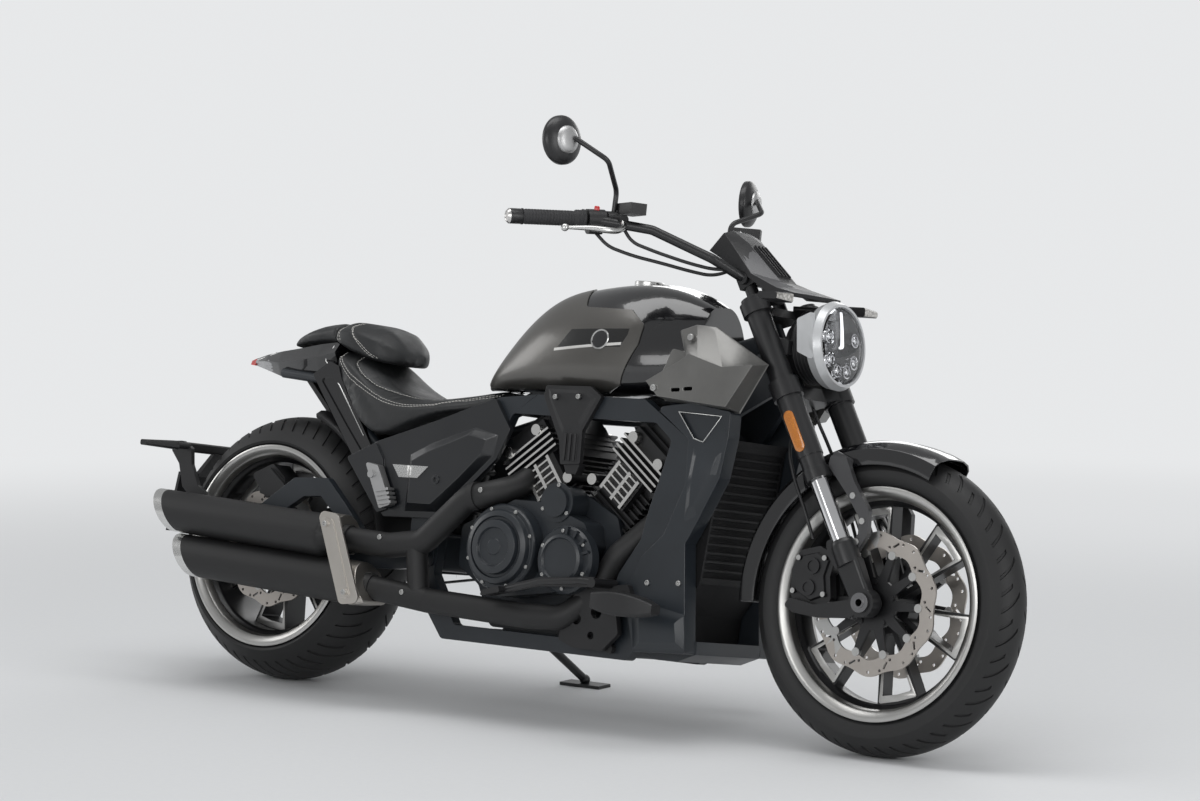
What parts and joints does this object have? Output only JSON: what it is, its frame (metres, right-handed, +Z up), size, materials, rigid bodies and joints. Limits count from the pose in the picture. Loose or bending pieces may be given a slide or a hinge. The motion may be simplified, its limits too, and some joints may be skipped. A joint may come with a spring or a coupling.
{
  "type": "cruiser motorcycle",
  "caption": "Long low cruiser motorcycle with a V-twin engine, wide rear tyre, stacked mufflers and a round headlamp, leaning on its side stand.",
  "frame": {"origin": "on the ground under the centre of the overall box, the machine parked leaning left on its side stand", "axes": "+X forward, +Y to the rider's left, +Z up"},
  "size_m": [2.4325, 0.926, 1.4045],
  "materials": {
    "belt_rubber": "toothed belt",
    "black_gloss": "deep gloss black",
    "black_plastic": "matte moulded",
    "black_satin": "satin black anodised",
    "bronze_paint": "satin gunmetal paint",
    "brushed_plate": "brushed",
    "chrome_tube": "polished",
    "disc_steel": "ground",
    "engine_black": "black coating with polished fin edges",
    "engine_satin": "satin dark grey coating on cast alloy",
    "exhaust_black": "heat-proof matte black",
    "frame_satin": "satin dark blue-grey paint",
    "grey_paint": "satin silver-grey paint",
    "grip_rubber": "ribbed",
    "lamp_glass": "clear",
    "machined_alloy": "machined",
    "radiator_black": "matte black fins",
    "red_lens": "clear red moulding",
    "saddle_leather": "grained black cover",
    "tyre_rubber": "tyre",
    "wheel_alloy": "black with machined edges"
  },
  "bodies": {
    "chassis": {"brake_pedal": "black_plastic", "clutch_cover": "engine_satin", "crankcase": "engine_satin", "drive_belt": "belt_rubber", "exhaust_pipes": "exhaust_black", "footrests": "black_plastic", "frame": "frame_satin", "front_cylinder": "engine_black", "fuel_tank": "black_gloss", "gear_lever": "black_plastic", "intake_scoops": "grey_paint", "muffler_band": "brushed_plate", "mufflers": "exhaust_black", "passenger_pads": "saddle_leather", "passenger_pegs": "machined_alloy", "plate_carrier": "black_plastic", "radiator": "radiator_black", "radiator_shrouds": "frame_satin", "rear_axle": "machined_alloy", "rear_caliper": "black_plastic", "rear_cylinder": "engine_black", "rear_mudguard": "black_plastic", "rear_subframe": "frame_satin", "rider_saddle": "saddle_leather", "shock_absorber": "machined_alloy", "side_covers": "black_gloss", "steering_head": "frame_satin", "swingarm": "frame_satin", "tail_fairing": "black_gloss", "tail_light": "red_lens", "tank_side_panels": "bronze_paint", "vee_covers": "black_plastic"},
    "steering": {"yokes": "black_satin", "fork_outer_tubes": "black_satin", "fork_lower_legs": "chrome_tube", "front_axle": "machined_alloy", "front_mudguard": "black_gloss", "mudguard_braces": "black_satin", "headlamp_shell": "black_plastic", "headlamp_bezel": "grey_paint", "headlamp_lens": "lamp_glass", "instrument_cowl": "black_plastic", "handlebar": "black_satin", "grips": "grip_rubber", "bar_controls": "black_plastic", "levers": "machined_alloy", "mirrors": "black_gloss", "front_calipers": "black_satin", "front_indicators": "black_plastic", "brake_hoses": "grip_rubber", "bar_cables": "grip_rubber"},
    "front_wheel": {"front_rim": "wheel_alloy", "front_tyre": "tyre_rubber", "front_discs": "disc_steel"},
    "rear_wheel": {"rear_rim": "wheel_alloy", "rear_tyre": "tyre_rubber", "rear_disc": "disc_steel", "driven_pulley": "machined_alloy"},
    "side_stand": {"side_stand": "black_satin"}
  },
  "joints": [
    {"name": "front_wheel_spin", "type": "hinge", "parent": "steering", "child": "front_wheel", "pos_m": [0.8815, -0.12804, 0.33152], "axis": [0, 0.9869, -0.1614], "continuous": true},
    {"name": "rear_wheel_spin", "type": "hinge", "parent": "chassis", "child": "rear_wheel", "pos_m": [-0.8535, -0.12954, 0.32242], "axis": [0, 0.9869, -0.1614], "continuous": true},
    {"name": "steering_turn", "type": "hinge", "parent": "chassis", "child": "steering", "pos_m": [0.54514, -0.04751, 0.82386], "axis": [-0.4955, 0.1402, 0.8572], "range_deg": [-32, 32]},
    {"name": "stand_fold", "type": "hinge", "parent": "chassis", "child": "side_stand", "pos_m": [-0.236, 0.03622, 0.14635], "axis": [0, 0.6777, 0.7354], "range_deg": [0, 90]}
  ]
}
